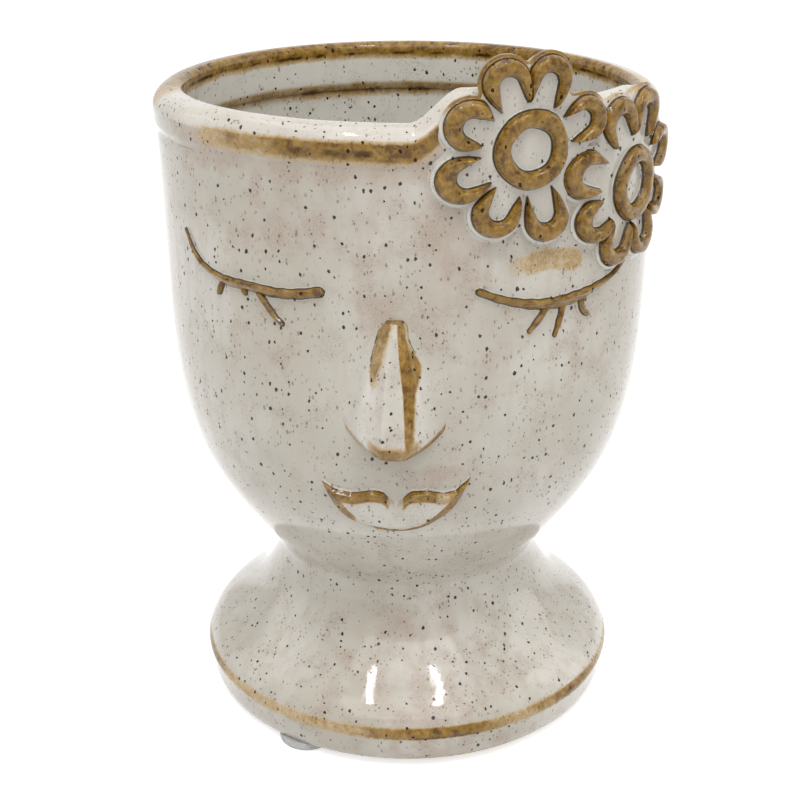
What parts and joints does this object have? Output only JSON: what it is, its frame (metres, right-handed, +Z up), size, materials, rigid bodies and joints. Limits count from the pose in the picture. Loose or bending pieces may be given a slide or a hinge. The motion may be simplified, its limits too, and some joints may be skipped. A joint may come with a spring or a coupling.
{
  "type": "head planter",
  "caption": "Small glazed stoneware planter shaped as a head with closed eyes on a flared foot, with daisies at the rim and a lift-out drain plug.",
  "frame": {"origin": "on the axis of the pedestal, at the level of the pads' undersides, where the planter stands", "axes": "+Z up, the face looks along -Y, +X to the viewer's right, on the daisies' side"},
  "size_m": [0.1102, 0.1106, 0.1587],
  "materials": {
    "speckled_glaze": "glossy, cream with fine dark speckles",
    "brown_glaze": "glossy, glaze broken to brown over raised clay",
    "grey_silicone": "soft matte",
    "clear_pad": "clear soft bumper, milky"
  },
  "bodies": {
    "planter": {"foot_pad_1": "clear_pad", "foot_pad_2": "clear_pad", "foot_pad_3": "clear_pad", "front_daisy_petal_1": "brown_glaze", "front_daisy_petal_2": "brown_glaze", "front_daisy_petal_3": "brown_glaze", "front_daisy_petal_4": "brown_glaze", "front_daisy_petal_5": "brown_glaze", "front_daisy_petal_6": "brown_glaze", "front_daisy_petal_7": "brown_glaze", "front_daisy_plate": "speckled_glaze", "front_daisy_ring": "brown_glaze", "head_bowl": "speckled_glaze", "left_eye_line": "brown_glaze", "left_lash_1": "brown_glaze", "left_lash_2": "brown_glaze", "left_lash_3": "brown_glaze", "mouth": "speckled_glaze", "nose": "speckled_glaze", "pedestal": "speckled_glaze", "right_eye_line": "brown_glaze", "right_lash_1": "brown_glaze", "right_lash_2": "brown_glaze", "right_lash_3": "brown_glaze", "side_daisy_petal_1": "brown_glaze", "side_daisy_petal_2": "brown_glaze", "side_daisy_petal_3": "brown_glaze", "side_daisy_petal_4": "brown_glaze", "side_daisy_petal_5": "brown_glaze", "side_daisy_petal_6": "brown_glaze", "side_daisy_petal_7": "brown_glaze", "side_daisy_petal_8": "brown_glaze", "side_daisy_plate": "speckled_glaze", "side_daisy_ring": "brown_glaze"},
    "plug": {"drain_plug": "grey_silicone"}
  },
  "joints": [
    {"name": "plug_lift", "type": "slide", "parent": "planter", "child": "plug", "axis": [0, 0, 1], "range_m": [0, 0.126]}
  ]
}
